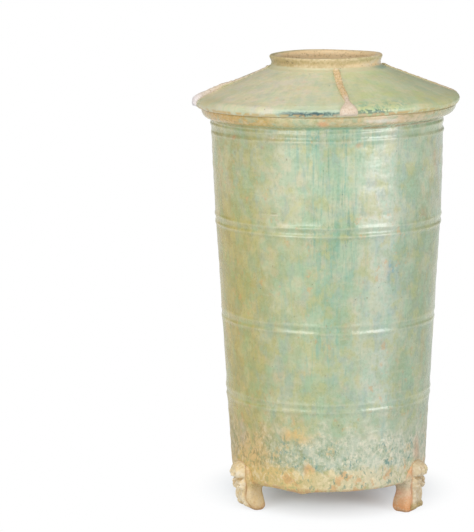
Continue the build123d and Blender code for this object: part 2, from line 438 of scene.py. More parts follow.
def wall_finish():
    """The wall's thin copper glaze: olive to the left, sea-green runs, a pale crust low down, painted highlights of the
    right softbox and painted light on the bands' sides.
    """
    f = Finish("wall_glaze")
    az, z = f.azimuth, f.z
    height = f.mark("level")
    runs = f.noise(2.6, (1, 1, 18), detail=3.0, roughness=0.6, offset=13.0)
    wide_runs = f.noise(8, (1, 1, 8), detail=3.0, roughness=0.55, offset=19.0)
    middle = f.noise(13, (1, 1, 1.5), detail=3.0, offset=27.0)
    colour = f.ramp(
        f.shaken(az, 12, (1, 1, 3), 44, 1.0), -180, 180,
        (-180, CELADON), (-130, GREY_GREEN), (-92, OLIVE), (-64, glaze(176, 171, 118)), (-46, glaze(178, 179, 130)),
        (-28, glaze(184, 187, 148)), (-12, glaze(194, 201, 166)), (4, glaze(178, 196, 164)), (18, glaze(190, 202, 170)),
        (31, glaze(194, 203, 176)), (46, glaze(170, 186, 158)), (64, glaze(166, 176, 144)), (84, glaze(168, 164, 138)),
        (130, CELADON), (180, CELADON))
    centre = f.both(f.window(az, -11.0, 15.0, 7.0), f.step(z, 84.0, 124.0))
    colour = f.lay(
        colour,
        (f.both(centre, f.step(runs, 0.50, 0.62)), 0.50, TURQUOISE),
        (f.both(centre, f.step(runs, 0.47, 0.37)), 0.36, glaze(206, 206, 166)),
        (f.both(f.window(az, -6.0, 7.0, 4.0), f.window(z, 176.0, 262.0, 12.0), f.step(wide_runs, 0.47, 0.57)), 0.62, SEA),
        (f.both(f.window(az, -8.0, 12.0, 6.0), f.window(z, 118.0, 180.0, 14.0), f.step(wide_runs, 0.44, 0.56)), 0.50, glaze(150, 194, 174)),
        (f.both(f.window(az, 34.0, 52.0, 7.0), f.window(z, 130.0, 262.0, 18.0), f.step(runs, 0.49, 0.58)), 0.55, glaze(140, 178, 160)),
        (f.both(f.window(az, 52.0, 84.0, 10.0), f.window(z, 90.0, 262.0, 18.0), f.step(runs, 0.52, 0.60)), 0.55, glaze(196, 176, 130)),
        (f.both(f.window(az, 40.0, 84.0, 10.0), f.step(runs, 0.47, 0.40)), 0.45, glaze(146, 168, 138)),
        (f.both(f.window(az, -50.0, -14.0, 10.0), f.window(z, 96.0, 190.0, 20.0), f.step(wide_runs, 0.52, 0.60)), 0.45, glaze(160, 192, 160)),
        (f.both(f.window(az, -56.0, -18.0, 12.0), f.step(middle, 0.53, 0.60)), 0.40, STRAW),
        (f.both(f.step(z, 238.0, 262.0), f.step(az, -30.0, -14.0), f.step(runs, 0.53, 0.61)), 0.50, SEA),
        (f.both(f.patch(-22, 226, 17, 36, 1.0), f.step(middle, 0.42, 0.56)), 0.55, glaze(208, 206, 178)),
        (f.patch(-20, 238, 8, 10, 1.0), 0.35, BLUSH),
        # Painted highlights: the next four pale patches, about 24 to 28 degrees to the right, stand for the right
        # softbox's glare and sheen down the wall.
        (f.both(f.patch(24, 221, 11, 23, 1.2), f.step(wide_runs, 0.36, 0.50)), 0.85, glaze(224, 221, 210)),
        (f.patch(23, 181, 11, 9, 1.0), 0.55, glaze(214, 212, 192)),
        (f.patch(24, 167, 11, 6, 1.0), 0.45, glaze(212, 210, 190)),
        (f.both(f.patch(28, 120, 15, 48, 1.0), f.step(middle, 0.42, 0.56)), 0.50, glaze(204, 208, 188)),
        (f.patch(34, 172, 2.6, 9, 0.7), 0.80, glaze(118, 164, 172)),
        (f.patch(4, 164, 3.4, 14, 0.8), 0.50, glaze(124, 182, 168)),
        (f.patch(-5, 92, 15, 7, 0.9), 0.55, glaze(180, 184, 134)),
    )
    colour = f.lay(
        colour,
        (f.patch(-44, 140, 4, 12, 0.7), 0.6, STRAW),
        (f.patch(-38, 116, 5, 14, 0.8), 0.75, glaze(196, 186, 112)),
        (f.patch(-46, 222, 2.0, 4, 0.8), 0.75, glaze(206, 184, 104)),
        (f.patch(-14, 216, 2.4, 4, 0.8), 0.70, glaze(210, 202, 130)),
        (f.patch(-52, 259, 3.0, 1.6, 0.8), 0.75, glaze(222, 160, 126)),
        (f.patch(-33, 254, 1.2, 1.4, 0.8), 0.70, glaze(186, 140, 100)),
        (f.patch(-26, 261, 6, 2.2, 0.8), 0.55, ORANGE),
        (f.patch(68, 246, 5, 12, 0.9), 0.75, glaze(208, 166, 130)),
        (f.patch(56, 206, 3, 9, 0.9), 0.6, glaze(200, 162, 122)),
        (f.patch(15, 257, 2.2, 2.2, 0.8), 0.70, glaze(208, 154, 106)),
        (f.patch(9, 261, 3.0, 4.0, 0.8), 0.60, glaze(208, 184, 132)),
        (f.patch(-30, 186, 6, 5, 0.9), 0.55, glaze(206, 190, 130)),
        (f.patch(-13, 104, 5, 2.2, 0.9), 0.60, glaze(212, 180, 146)),
        (f.patch(-26, 100, 3, 3, 0.9), 0.60, glaze(212, 176, 136)),
        (f.patch(-18, 68, 9, 6, 0.9), 0.75, glaze(212, 178, 116)),
        (f.patch(12, 146, 5, 5, 0.9), 0.50, glaze(206, 198, 140)),
        (f.patch(55, 60, 10, 24, 1.0), 0.45, glaze(204, 196, 176)),
        (f.window(z, 263.0, 267.5, 2.0), 0.20, glaze(206, 196, 150)),
    )
    scratch = f.both(f.window(az, -36.0, -24.0, 1.2), f.step(f.ragged(), 0.46, 0.54))
    for level, tone in ((211.0, glaze(158, 150, 112)), (209.6, CHALK_AND_HIGHLIGHT), (206.6, glaze(196, 150, 116))):
        colour = f.mix(f.both(scratch, f.window(z, level - 0.25, level + 0.25, 0.3)), colour, tone)
    hair = f.noise(1.0, (1, 1, 30), detail=2.0, roughness=0.5, offset=21.0)
    colour = f.lay(
        weathered(f, colour),
        (f.both(f.window(az, -10.0, 16.0, 6.0), f.step(z, 150.0, 190.0), f.step(hair, 0.58, 0.66)), 0.45, glaze(112, 156, 140)),
        (f.both(f.window(az, -24.0, 20.0, 10.0), f.step(runs, 0.56, 0.64), f.step(z, 84.0, 110.0)), 0.35, glaze(140, 184, 166)),
    )
    veil = f.ramp(
        f.shaken(az, 14, (1, 1, 2), 30, 4.0), -180, 180,
        (-180, glaze(232, 236, 228)), (-88, glaze(240, 216, 136)), (-64, glaze(244, 222, 148)), (-44, glaze(242, 229, 184)),
        (-28, glaze(240, 238, 222)), (-9, glaze(236, 236, 224)), (3, glaze(226, 230, 220)), (17, glaze(234, 233, 228)),
        (29, glaze(240, 241, 246)), (40, glaze(230, 232, 228)), (53, glaze(222, 228, 212)), (82, glaze(222, 226, 208)),
        (180, glaze(232, 236, 228)))
    pale_top = f.math("MULTIPLY", f.step(z, 196.0, 232.0), 0.45)
    colour = f.mix(f.math("SUBTRACT", 1.0, pale_top), colour, veil, blend="MULTIPLY")
    crust = f.step(f.shaken(z, 9, (1, 1, 1.3), 60, 27.5), 74.0, 50.0)
    grain = f.noise(3.6, (1, 1, 1.2), detail=4.0, roughness=0.66, offset=43.0)
    blotch = f.noise(11, (1, 1, 1.2), detail=4.0, roughness=0.6, offset=47.0)
    strokes = f.noise(2.2, (1, 1, 2.2), detail=3.0, roughness=0.6, offset=49.0)
    crusted = f.ramp(
        f.shaken(az, 10, (1, 1, 1), 36, 2.0), -180, 180,
        (-180, glaze(190, 188, 158)), (-66, glaze(200, 176, 118)), (-46, glaze(210, 178, 116)), (-30, glaze(186, 178, 130)),
        (-14, glaze(184, 186, 154)), (4, glaze(186, 190, 160)), (20, glaze(192, 194, 168)), (33, glaze(204, 203, 178)),
        (48, glaze(186, 190, 168)), (62, glaze(188, 190, 164)), (84, glaze(194, 186, 160)), (180, glaze(190, 188, 158)))
    speckle = f.noise(1.5, (1, 1, 1.3), detail=3.0, roughness=0.65, offset=46.0)
    cool = f.both(f.step(z, 62.0, 48.0), f.step(az, -42.0, -26.0))
    crusted = f.lay(
        crusted,
        (f.both(f.window(az, -32.0, 8.0, 10.0), f.window(z, 32.0, 60.0, 8.0), f.step(blotch, 0.38, 0.54)), 0.55, glaze(150, 168, 140)),
        (f.both(f.step(grain, 0.51, 0.60), f.step(az, 12.0, -20.0)), 0.62, glaze(230, 214, 174)),
        (f.both(f.step(grain, 0.49, 0.39), f.step(az, 12.0, -20.0)), 0.62, glaze(152, 152, 98)),
        (f.both(f.step(grain, 0.50, 0.60), f.step(az, -20.0, 12.0)), 0.60, glaze(224, 214, 190)),
        (f.both(f.step(grain, 0.50, 0.40), f.step(az, -20.0, 12.0)), 0.60, glaze(150, 166, 134)),
        (f.both(f.step(speckle, 0.56, 0.64), f.step(z, 64.0, 54.0)), 0.50, glaze(232, 220, 192)),
        (f.both(f.step(speckle, 0.45, 0.37), f.step(z, 64.0, 54.0)), 0.50, glaze(120, 134, 92)),
        (f.both(cool, f.step(strokes, 0.51, 0.62)), 0.45, glaze(136, 166, 148)),
        (f.both(cool, f.step(strokes, 0.56, 0.64), f.step(blotch, 0.45, 0.55)), 0.78, glaze(86, 132, 122)),
        (f.both(f.step(blotch, 0.53, 0.61), f.step(grain, 0.40, 0.54), f.step(az, 16.0, -8.0)), 0.60, glaze(216, 186, 128)),
        (f.both(f.step(blotch, 0.56, 0.64), f.step(grain, 0.42, 0.54)), 0.45, OCHRE),
        (f.both(f.step(blotch, 0.45, 0.36), f.step(az, -36.0, -20.0)), 0.45, glaze(196, 200, 178)),
        (f.both(f.patch(-16, 62, 9, 8, 1.0), f.step(grain, 0.34, 0.46)), 0.92, glaze(220, 178, 104)),
        (f.both(f.patch(-30, 64, 8, 5, 1.0), f.step(grain, 0.40, 0.50)), 0.60, glaze(220, 196, 160)),
        (f.both(f.patch(-48, 42, 12, 13, 1.0), f.step(grain, 0.36, 0.50)), 0.85, glaze(220, 184, 118)),
        (f.both(f.step(az, -28.0, -44.0), f.step(strokes, 0.53, 0.60)), 0.75, glaze(158, 138, 80)),
        (f.patch(-58, 56, 4, 9, 0.9), 0.55, glaze(206, 184, 160)),
        (f.patch(-10, 36, 3.4, 5, 0.9), 0.85, glaze(218, 160, 98)),
        (f.patch(61, 44, 4, 9, 1.0), 0.70, glaze(206, 164, 130)),
    )
    low_band = f.step(f.shaken(z, 7, (1, 1, 1.3), 26, 47.5), 39.0, 33.0)
    crusted = f.lay(
        crusted,
        (low_band, 0.72, f.ramp(az, -90, 90, (-90, glaze(218, 184, 116)), (-20, glaze(224, 190, 112)), (0, glaze(216, 194, 138)), (30, glaze(214, 200, 162)), (90, glaze(216, 204, 172)))),
        (f.both(low_band, f.step(grain, 0.54, 0.62)), 0.52, glaze(232, 214, 172)),
        (f.both(low_band, f.step(grain, 0.45, 0.38)), 0.60, glaze(164, 164, 108)),
        (f.both(low_band, f.step(blotch, 0.56, 0.62), f.step(az, -40.0, -20.0)), 0.55, glaze(206, 150, 92)),
        (f.both(low_band, f.step(strokes, 0.60, 0.66), f.step(az, -32.0, -26.0)), 0.65, glaze(96, 134, 116)),
        (f.both(f.step(z, 24.6, 21.6), f.step(grain, 0.44, 0.54)), 0.80, glaze(188, 140, 90)),
    )
    colour = f.mix(crust, colour, crusted)
    for level, lift in zip(bands, (0.30, 0.24, 0.36, 0.36)):
        for ridge in (level, level + band_spacing):
            crest = f.window(height, ridge - 0.5, ridge + 0.5, 0.7)
            colour = f.mix(f.math("MULTIPLY", crest, lift * 0.5), colour, glaze(216, 214, 186))
        groove = f.window(height, level + 1.6, level + band_spacing - 1.6, 0.9)
        colour = f.mix(f.math("MULTIPLY", groove, 0.12), colour, glaze(142, 174, 146))
        # Painted light: the bands are painted paler from about 44 to 66 degrees either side, to lift the shade of their
        # relief towards the jar's sides.
        painted_light_on_band_sides = f.both(f.window(height, level - 1.4, level + band_spacing + 1.4, 0.8), f.step(f.math("ABSOLUTE", az), 44.0, 66.0))
        colour = f.mix(f.math("MULTIPLY", painted_light_on_band_sides, 0.22), colour, glaze(220, 214, 176))
    flange = f.step(height, 268.4, 270.4)
    colour = f.mix(flange, colour, flange_colour(f))
    lower_edge = f.both(f.window(height, 267.2, 268.8, 0.7), f.step(f.ragged(), 0.38, 0.48))
    colour = f.mix(f.math("MULTIPLY", lower_edge, 0.75), colour, f.ramp(
        az, -90, 90, (-90, glaze(176, 150, 96)), (-20, glaze(170, 158, 100)), (-8, glaze(126, 162, 122)),
        (10, glaze(136, 166, 128)), (18, glaze(168, 130, 88)), (90, glaze(160, 150, 110))))
    crease = f.both(f.window(height, seam_level - 1.0, seam_level + 0.4, 0.4), f.step(f.ragged(), 0.36, 0.46))
    colour = f.mix(f.math("MULTIPLY", crease, 0.35), colour, glaze(172, 144, 94))
    roughness = f.math("ADD", 0.19, f.math("MULTIPLY", f.noise(6, detail=3.0, offset=51.0), 0.16))
    roughness = f.math("ADD", roughness, f.math("MULTIPLY", crust, 0.26))
    return f.finish(colour, roughness, surface_height(f, crust), IOR=1.70)


def flange_colour(f):
    """Colour of the flange under the eave: ochre to the left, green with orange spots in the middle, buff to the right,
    with a painted highlight on its right.
    """
    az = f.shaken(f.azimuth, 9, (1, 1, 1), 40, 53.0)
    colour = f.ramp(
        az, -180, 180, (-180, glaze(188, 180, 136)), (-80, glaze(188, 164, 102)), (-56, glaze(206, 162, 84)),
        (-34, glaze(204, 166, 88)), (-18, glaze(196, 184, 130)), (-6, glaze(184, 190, 150)), (6, glaze(200, 174, 124)),
        (13, glaze(186, 180, 138)), (20, glaze(214, 188, 150)), (34, glaze(210, 184, 148)), (52, glaze(184, 170, 126)),
        (76, glaze(172, 176, 142)), (180, glaze(188, 180, 136)))
    grain = f.noise(3.4, (1, 1, 0.7), detail=4.0, roughness=0.65, offset=57.0)
    cloud = f.noise(9.0, detail=3.0, offset=59.0)
    return f.lay(
        colour,
        (f.step(grain, 0.52, 0.60), 0.50, glaze(216, 198, 150)),
        (f.step(grain, 0.47, 0.39), 0.50, glaze(158, 154, 98)),
        (f.step(cloud, 0.54, 0.63), 0.45, glaze(210, 172, 108)),
        (f.step(cloud, 0.45, 0.36), 0.45, glaze(158, 184, 152)),
        (f.patch(-2.5, 272, 2.4, 2.4, 0.8), 0.75, glaze(222, 158, 106)),
        # Painted highlight: a chalk-white streak on the flange at about 24 degrees right, where the right softbox
        # glints.
        (f.patch(24, 273.5, 9, 1.6, 0.8), 0.60, CHALK_AND_HIGHLIGHT),
    )


def roof_finish():
    """The roof's glaze: cream and grey to the left, greener to the right, with a dark pool above the eave."""
    f = Finish("roof_glaze")
    az, radius = f.azimuth, f.radius
    level = f.mark("level")
    cloud = f.noise(12, detail=3.0, offset=63.0)
    band = f.noise(4.6, (1, 1, 1), detail=4.0, roughness=0.6, offset=67.0)
    colour = f.ramp(
        f.shaken(az, 16, (1, 1, 1), 50, 65.0), -180, 180,
        (-180, glaze(202, 200, 164)), (-84, glaze(216, 202, 160)), (-54, glaze(222, 211, 176)), (-24, glaze(222, 214, 176)),
        (-4, glaze(214, 210, 174)), (14, glaze(208, 208, 162)), (34, glaze(202, 204, 156)), (62, glaze(186, 190, 146)),
        (88, glaze(182, 188, 146)), (180, glaze(202, 200, 164)))
    ring = f.add("TexNoise", {"Vector": f.join(f.math("MULTIPLY", radius, 0.34), f.math("MULTIPLY", az, 0.035)), "Scale": 1.0, "Detail": 3.0, "Roughness": 0.6})
    spokes = f.add("TexNoise", {"Vector": f.join(f.math("MULTIPLY", radius, 0.02), f.math("MULTIPLY", az, 0.42)), "Scale": 1.0, "Detail": 3.0, "Roughness": 0.6})
    colour = f.lay(
        colour,
        (f.step(spokes, 0.51, 0.60), 0.38, glaze(222, 212, 176)),
        (f.step(spokes, 0.47, 0.39), 0.34, glaze(190, 200, 154)),
        (f.step(ring, 0.53, 0.62), 0.38, glaze(224, 202, 164)),
        (f.step(ring, 0.46, 0.38), 0.34, glaze(196, 202, 160)),
        (f.both(f.window(az, 8.0, 60.0, 10.0), f.step(cloud, 0.48, 0.60)), 0.60, glaze(190, 202, 132)),
        (f.both(f.window(az, -70.0, -8.0, 12.0), f.step(cloud, 0.50, 0.62)), 0.55, glaze(224, 208, 190)),
        (f.both(f.step(radius, 47.0, 41.0), f.step(cloud, 0.42, 0.54)), 0.45, glaze(204, 212, 178)),
        (f.both(f.window(az, -18.0, 3.0, 6.0), f.step(level, 288.0, 282.0)), 0.50, glaze(184, 204, 170)),
        (f.both(f.window(az, 10.0, 44.0, 8.0), f.step(radius, 72.0, 85.0), f.step(band, 0.44, 0.54)), 0.55, glaze(150, 184, 144)),
        (f.both(f.step(az, 36.0, 56.0), f.step(radius, 74.0, 87.0)), 0.50, glaze(190, 186, 118)),
        (f.both(f.step(az, -46.0, -64.0), f.step(radius, 76.0, 87.0)), 0.55, glaze(196, 182, 132)),
        (f.both(f.window(az, -40.0, -14.0, 6.0), f.step(band, 0.52, 0.60)), 0.40, glaze(212, 196, 176)),
    )
    colour = weathered(f, colour, 0.42)
    dots = f.noise(1.7, (1, 1, 1), detail=3.0, roughness=0.6, offset=69.0)
    drip = f.math("ADD", level, f.math("MULTIPLY", f.math("SUBTRACT", dots, 0.5), -3.4))
    pool = f.both(f.window(az, -19.0, 5.0, 6.0), f.window(drip, 277.6, 280.0, 0.8), f.step(band, 0.30, 0.42))
    under_pool = f.both(f.window(az, -9.0, 2.0, 3.0), f.window(drip, 275.8, 279.0, 1.0), f.step(band, 0.54, 0.60))
    smear = f.both(f.window(az, 11.0, 27.0, 4.0), f.window(drip, 278.0, 280.7, 0.8), f.step(dots, 0.38, 0.52))
    smudge = f.both(f.window(az, 13.0, 34.0, 5.0), f.window(level, 279.8, 284.6, 1.4), f.step(band, 0.48, 0.57), f.step(dots, 0.40, 0.56))
    colour = f.lay(
        colour,
        (f.both(f.window(az, -22.0, 6.0, 3.0), f.window(level, 277.6, 281.4, 1.0)), 0.45, glaze(130, 176, 160)),
        (smudge, 0.60, glaze(124, 162, 138)),
        (smear, 0.80, glaze(64, 100, 92)),
        (pool, 0.95, glaze(28, 74, 80)),
        (under_pool, 0.80, glaze(60, 104, 98)),
    )
    warm_edge = f.both(f.window(level, 276.6, 278.6, 0.7), f.step(band, 0.42, 0.52))
    crease = f.both(f.step(level, seam_level + 0.9, seam_level + 0.2), f.step(radius, 80.0, 84.0))
    edge_tone = f.ramp(
        az, -90, 90, (-90, glaze(196, 166, 104)), (-40, glaze(206, 168, 98)), (-24, glaze(206, 186, 128)), (-10, glaze(204, 170, 112)),
        (8, glaze(206, 186, 150)), (24, glaze(206, 160, 110)), (44, glaze(196, 172, 96)), (90, glaze(186, 174, 104)))
    colour = f.lay(colour, (warm_edge, 0.85, edge_tone), (crease, 0.35, glaze(176, 150, 98)))
    roughness = f.math("ADD", 0.24, f.math("MULTIPLY", f.noise(5, detail=3.0, offset=71.0), 0.22))
    return f.finish(colour, roughness, surface_height(f), IOR=1.6)


def collar_finish():
    """The collar's tan and grey glaze, olive at its ends, with a paler foot and a tan inside that is painted lighter
    against its shade.
    """
    f = Finish("collar_glaze")
    cloud = f.noise(7, (1, 1, 0.6), detail=4.0, roughness=0.6, offset=73.0)
    grain = f.noise(1.9, (1, 1, 1), detail=4.0, roughness=0.65, offset=77.0)
    inner = f.step(f.radius, 37.2, 35.6)
    foot = f.step(f.z, collar_base_level + 3.0, collar_base_level + 1.2)
    colour = f.ramp(
        f.shaken(f.azimuth, 8, (1, 1, 1), 40, 75.0), -180, 180, (-180, glaze(206, 188, 146)), (-84, glaze(168, 158, 98)),
        (-52, glaze(196, 172, 120)), (-14, glaze(204, 182, 136)), (20, glaze(198, 178, 134)), (50, glaze(186, 176, 124)),
        (80, glaze(168, 168, 112)), (180, glaze(206, 188, 146)))
    colour = f.lay(
        colour,
        (f.step(cloud, 0.52, 0.60), 0.45, glaze(216, 196, 152)),
        (f.step(cloud, 0.47, 0.39), 0.45, glaze(176, 160, 108)),
        # The inside of the mouth: its own tan, painted lighter than it is to lift the shade inside the throat.
        (inner, 0.90, glaze(240, 208, 160)),
        (f.both(inner, f.window(f.math("ABSOLUTE", f.azimuth), 40.0, 110.0, 16.0), f.step(cloud, 0.42, 0.56)), 0.60, glaze(216, 212, 198)),
        (f.step(grain, 0.53, 0.61), 0.45, glaze(224, 206, 170)),
        (f.step(grain, 0.46, 0.38), 0.45, glaze(160, 138, 92)),
        (f.both(f.window(f.z, crest_level - 1.0, crest_level + 2.0, 0.4), f.step(cloud, 0.44, 0.52)), 0.40, glaze(216, 200, 160)),
        (foot, 0.80, glaze(206, 202, 168)),
        (f.both(foot, f.step(grain, 0.52, 0.60)), 0.45, glaze(184, 198, 160)),
        (f.both(f.window(f.azimuth, 58.0, 84.0, 8.0), foot), 0.60, glaze(120, 162, 146)),
        (f.both(f.window(f.azimuth, -64.0, -36.0, 5.0), f.window(f.z, crest_level - 4.5, crest_level - 2.0, 1.0), f.step(grain, 0.52, 0.57)), 0.80, glaze(104, 84, 52)),
        (f.spots(5.0, 0.05, 0.10, offset=4.0), 0.6, BROWN),
    )
    roughness = f.math("ADD", 0.34, f.math("MULTIPLY", cloud, 0.22))
    return f.finish(colour, roughness, surface_height(f), IOR=1.55)


def ridge_finish():
    """The applied ridges: worn orange clay on the knobs, pinkish white at the flared end, glaze down the sides."""
    f = Finish("ridge_glaze")
    along = f.mark("along")
    lift = f.mark("lift")
    grain = f.noise(1.3, detail=5.0, roughness=0.7, offset=79.0)
    colour = f.mix(f.step(grain, 0.44, 0.56), glaze(206, 176, 126), glaze(224, 192, 146))
    colour = f.lay(
        colour,
        (f.step(along, 0.10, 0.0), 0.6, glaze(198, 184, 140)),
        (f.step(along, 0.62, 0.76), 0.85, glaze(220, 200, 180)),
        (f.window(f.azimuth, -120.0, -60.0, 12.0), 0.65, glaze(226, 212, 196)),
        (f.step(f.azimuth, 70.0, 85.0), 0.45, glaze(204, 188, 150)),
        (f.both(f.step(lift, 0.66, 0.24), f.step(along, 0.70, 0.56)), 0.85, glaze(200, 196, 154)),
        (f.both(f.step(grain, 0.54, 0.62), f.step(lift, 0.4, 0.8)), 0.55, CHALK_AND_HIGHLIGHT),
        (f.step(grain, 0.44, 0.37), 0.45, glaze(170, 140, 98)),
        (f.both(f.window(f.azimuth, -120.0, -60.0, 12.0), f.step(along, 0.80, 0.92)), 0.85, glaze(240, 230, 228)),
        (f.spots(2.6, 0.04, 0.12, offset=6.0), 0.6, BROWN),
    )
    rough = f.math("ADD", 0.42, f.math("MULTIPLY", grain, 0.25))
    height = f.math("ADD", surface_height(f), f.math("MULTIPLY", grain, 0.5))
    return f.finish(colour, rough, height, IOR=1.5)


def foot_finish():
    """The bears' thin glaze: buff and cream on what stands proud, olive on the toes, clay at the right bear's sides."""
    f = Finish("foot_glaze")
    relief = f.mark("relief")
    grain = f.noise(2.0, detail=4.0, roughness=0.65, offset=83.0)
    cloud = f.noise(6, detail=3.0, offset=87.0)
    right = f.step(f.x, 10.0, 30.0)
    colour = f.mix(f.step(cloud, 0.42, 0.58), glaze(230, 204, 154), glaze(238, 218, 182))
    colour = f.lay(
        colour,
        (right, 0.72, glaze(200, 180, 148)),
        (f.step(grain, 0.52, 0.62), 0.45, glaze(234, 224, 206)),
        (f.step(grain, 0.47, 0.37), 0.45, glaze(200, 172, 126)),
        (f.step(relief, 0.28, 0.06), 0.65, glaze(186, 138, 88)),
        (f.both(right, f.step(relief, 0.18, 0.04)), 0.85, glaze(214, 166, 130)),
        (f.both(f.step(relief, 0.45, 0.22), f.step(cloud, 0.52, 0.60)), 0.25, glaze(186, 172, 122)),
        (f.both(right, f.step(f.z, 9.0, 5.0), f.step(grain, 0.36, 0.48)), 0.80, glaze(160, 136, 76)),
        (f.both(f.step(f.x, -10.0, -30.0), f.step(f.z, 6.0, 3.0)), 0.55, glaze(196, 158, 104)),
        (f.both(f.window(f.z, 29.0, 34.0, 2.0), f.step(cloud, 0.50, 0.58)), 0.40, glaze(196, 182, 122)),
        (f.spots(4.6, 0.03, 0.08, offset=12.0), 0.5, BROWN),
    )
    rough = f.math("ADD", 0.36, f.math("MULTIPLY", grain, 0.25))
    height = f.math("ADD", surface_height(f), f.math("MULTIPLY", grain, 0.4))
    return f.finish(colour, rough, height, IOR=1.52)


def clay_finish():
    """Bare low-fired clay: orange on the right foot, buff on the left, darker and dusty inside the jar."""
    f = Finish("bare_clay")
    grain = f.noise(1.3, detail=5.0, roughness=0.7, offset=89.0)
    cloud = f.noise(8, detail=4.0, offset=91.0)
    rings = f.noise(1.8, (20, 20, 1), detail=2.0, offset=93.0)
    orange = f.step(f.x, -25.0, 25.0)
    upper = f.both(f.window(f.z, 17.0, 27.0, 3.0), f.step(f.radius, 57.5, 60.0))
    colour = f.mix(orange, glaze(230, 202, 152), glaze(224, 172, 126))
    colour = f.lay(
        colour,
        (f.both(orange, f.step(f.z, 9.0, 3.0)), 0.60, glaze(222, 150, 90)),
        (f.both(orange, f.window(f.z, 11.0, 17.0, 3.0)), 0.55, glaze(224, 184, 158)),
        (f.both(f.step(f.x, 25.0, -25.0), f.step(f.z, 6.0, 2.0)), 0.60, glaze(196, 150, 96)),
        (f.step(cloud, 0.52, 0.60), 0.40, glaze(222, 200, 164)),
        (f.step(cloud, 0.47, 0.39), 0.35, glaze(204, 152, 108)),
        (f.step(grain, 0.53, 0.61), 0.40, glaze(232, 212, 182)),
        (f.step(grain, 0.46, 0.38), 0.30, glaze(190, 148, 104)),
        (f.both(f.step(f.z, 36.0, 48.0), f.step(rings, 0.50, 0.60)), 0.35, glaze(182, 142, 110)),
        (f.step(f.z, 2.6, 0.4), 0.60, glaze(168, 118, 70)),
        (upper, 0.90, f.mix(orange, glaze(222, 190, 130), glaze(208, 192, 164))),
        (f.both(upper, f.step(grain, 0.54, 0.60)), 0.55, glaze(232, 216, 178)),
        (f.both(upper, f.step(grain, 0.47, 0.39)), 0.60, glaze(168, 156, 104)),
        (f.spots(3.0, 0.04, 0.10, offset=14.0), 0.5, BROWN),
    )
    ridged = f.both(f.step(f.z, 30.0, 40.0), f.math("MULTIPLY", rings, 0.9))
    height = f.math("ADD", f.math("MULTIPLY", grain, 0.45), ridged)
    return f.finish(colour, f.math("ADD", 0.62, f.math("MULTIPLY", grain, 0.2)), height, IOR=1.45)


# Forms


def wall_line(height):
    """Radius of the wall's outside at a height: a straight taper plus a bow of four times share times rest, and a soft swell higher up."""
    share = (height - base_level) / (flare_level - base_level)
    taper = base_radius + (wall_top_radius - base_radius) * share
    bow = wall_bow * 4.0 * share * (1.0 - share)
    return taper + bow + swell_depth * hump(height, swell_level, 50.0)


def wall_surface(height, azimuth):
    """The wall's outside radius: its line, pairs of ridges of uneven height, thrown rings, dents and the smears over the feet."""
    radius = wall_line(height)
    for number, (level, lower, upper) in enumerate(zip(bands, band_heights, upper_band_heights)):
        for extra, (offset, lift) in enumerate(((0.0, lower), (band_spacing, upper))):
            drift = 0.35 * wander(azimuth, 0.0, 10 + number * 2 + extra, round_count=4)
            fade = 0.82 + 0.25 * wander(azimuth, 0.0, 30 + number * 2 + extra, round_count=7)
            radius = radius + lift * fade * hump(height, level + offset + drift, band_half_width)
    radius = radius + 0.10 * wander(azimuth, height, 3, round_count=2, rise=0.85)
    radius = radius + 0.32 * wander(azimuth, height, 4, round_count=5, rise=0.06)
    radius = radius + 0.10 * wander(azimuth, height, 5, waves=12, round_count=26, rise=0.30)
    crust = smooth_step(height, 66.0, 40.0)
    radius = radius + 0.16 * crust * wander(azimuth, height, 6, waves=16, round_count=60, rise=0.9)
    for degrees in foot_azimuths.values():
        away = (azimuth - math.radians(degrees) + np.pi) % (2 * np.pi) - np.pi
        across = away * base_radius
        smear = hump(across, 0.0, 9.0) * smooth_step(height, 48.0, 34.0)
        radius = radius + 1.5 * smear * (1 + 0.35 * wander(azimuth, height, 7, waves=12, round_count=50, rise=0.5))
    return radius


def make_wall(wall_glaze, bare_clay):
    """The thrown wall: rows up the outside, round the flange, over the seam and down the inside."""
    azimuth = full_turn(320)
    even = np.arange(floor_level, flare_level - 1.0, 2.0)
    near = [level + offset + np.linspace(-2.4, 2.4, 13) for level in bands for offset in (0.0, band_spacing)]
    outside = np.unique(np.round(np.concatenate((even, *near)), 2))
    outer_radius = wall_surface(outside[:, None], azimuth)
    top_radius = wall_surface(np.array([[flare_level]]), azimuth)
    swell = 0.35 * wander(azimuth, 0.0, 8, round_count=5)
    flange = np.array([
        (0.5, flare_level + 0.4), (1.4, flare_level + 1.2), (3.4, flare_level + 2.1), (5.6, flare_level + 3.0),
        (7.3, flare_level + 4.2), (8.5, flare_level + 5.7), (9.1, flare_level + 7.2), (9.35, seam_level - 1.2),
        (9.35, seam_level - 0.4), (9.1, seam_level), (7.0, seam_level)])
    narrow = 1 - 0.34 * hump(azimuth, -np.pi / 2, 0.75)
    flange_rows = wall_top_radius + flange[:, :1] * narrow + swell
    share = np.linspace(0.55, 1.0, len(flange))[:, None]
    flange_rows = flange_rows * share + (top_radius + flange[:, :1]) * (1 - share)
    inside = np.array([seam_level, seam_level - 0.8, *np.linspace(seam_level - 4.0, floor_level + 1.0, 46), floor_level])
    ring = 0.22 * np.sin(inside / 1.9) + 0.15 * np.sin(inside / 3.1)
    inner_rows = (wall_line(inside) - wall_thickness + ring)[:, None] + 0.25 * wander(azimuth, inside[:, None], 9)
    radius = np.concatenate((outer_radius, flange_rows, inner_rows))
    height = np.concatenate((outside, flange[:, 1], inside))[:, None]
    height = height + 0.0 * azimuth
    rings = handed(turned(radius, height, azimuth))
    finish_of_row = np.array([0] * (len(outside) + len(flange)) + [1] * len(inside))
    piece = shell("jar_wall", rings, True, (wall_glaze, bare_clay), finish_of_row, {"level": height})
    place(piece, "wall_glaze", "body_wall")


